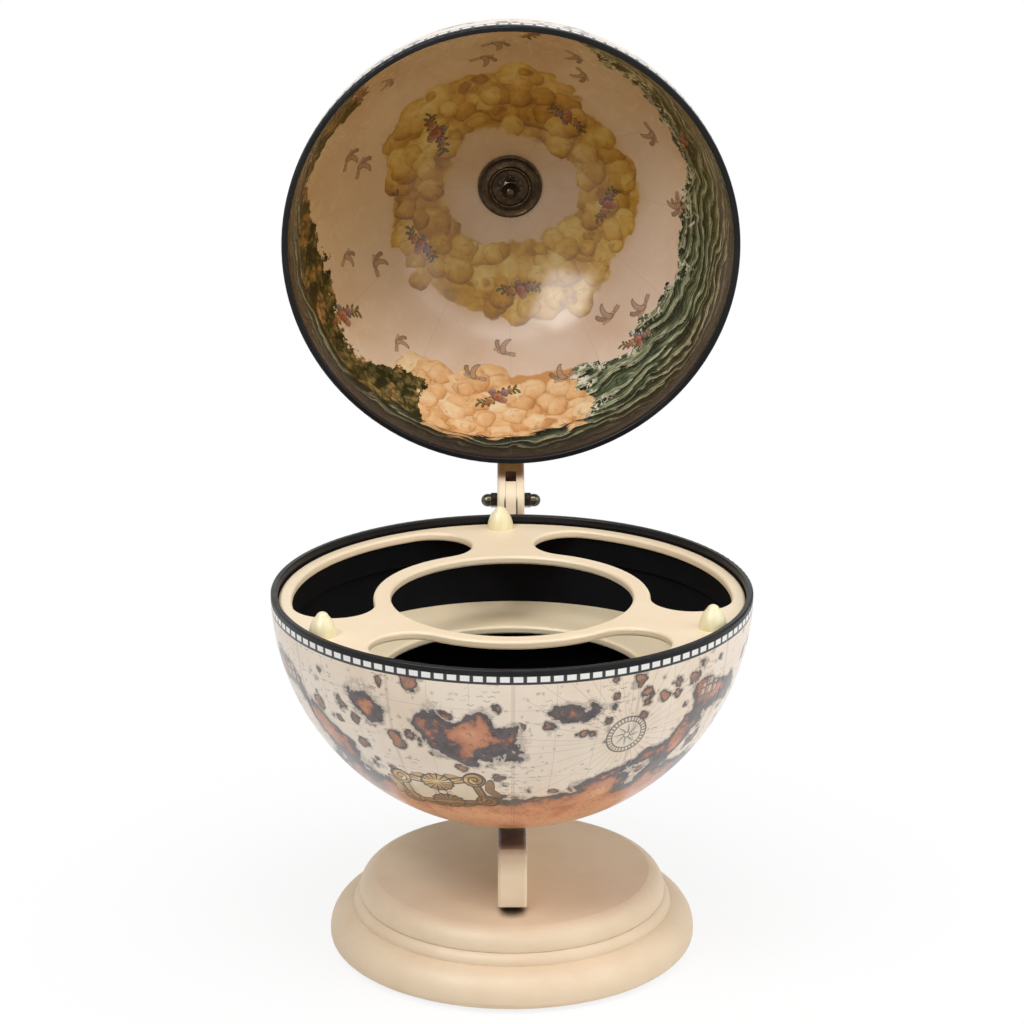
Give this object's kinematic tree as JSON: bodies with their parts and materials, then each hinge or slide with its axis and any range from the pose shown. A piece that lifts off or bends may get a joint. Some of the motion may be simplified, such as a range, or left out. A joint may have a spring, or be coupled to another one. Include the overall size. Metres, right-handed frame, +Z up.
{
  "type": "tabletop globe bar",
  "caption": "Globe cut in half on a turned stand: the lower half is a bowl with shelves for bottles and glasses, the upper half is a lid that swings back on a fork hinge.",
  "frame": {"origin": "centre of the felt ring's underside, on the surface the bar stands on", "axes": "+Z up, -Y towards the user who faces the open lid, +X to that user's right"},
  "size_m": [0.33, 0.5517, 0.6192],
  "materials": {
    "cream_paint": "satin",
    "black_lacquer": "satin",
    "printed_shell": "satin",
    "antique_bronze": "satin",
    "dark_steel": "satin",
    "turned_bush": "satin",
    "ivory_plastic": "satin",
    "felt": "matte"
  },
  "bodies": {
    "stand": {"plinth": "cream_paint", "stand_arm": "cream_paint", "upper_shelf": "cream_paint", "lower_shelf": "cream_paint", "bowl_rim_ring": "black_lacquer", "shelf_hoop": "black_lacquer", "shelf_cleat_1": "black_lacquer", "shelf_cleat_2": "black_lacquer", "shelf_cleat_3": "black_lacquer", "bowl_shell": "printed_shell", "bowl_rosette": "antique_bronze", "bowl_cap_nut": "antique_bronze", "bowl_lock_washer": "dark_steel", "bowl_bolt": "dark_steel", "foot_screws": "dark_steel", "peg_screws": "dark_steel", "bowl_bush": "turned_bush", "guide_peg_1": "ivory_plastic", "guide_peg_2": "ivory_plastic", "guide_peg_3": "ivory_plastic", "felt_ring": "felt"},
    "lid": {"lid_arm": "cream_paint", "lid_shell": "printed_shell", "lid_rim_ring": "black_lacquer", "lid_bush": "turned_bush", "lid_bolt": "antique_bronze", "lid_rosette": "antique_bronze", "lid_lock_washer": "dark_steel", "lid_cap_nut": "antique_bronze", "hinge_pin": "dark_steel", "hinge_nut_left": "antique_bronze", "hinge_nut_right": "antique_bronze"}
  },
  "joints": [
    {"name": "lid_hinge", "type": "hinge", "parent": "stand", "child": "lid", "pos_m": [0, 0.194, 0.261], "axis": [1, 0, 0], "range_deg": [0, 85]}
  ]
}
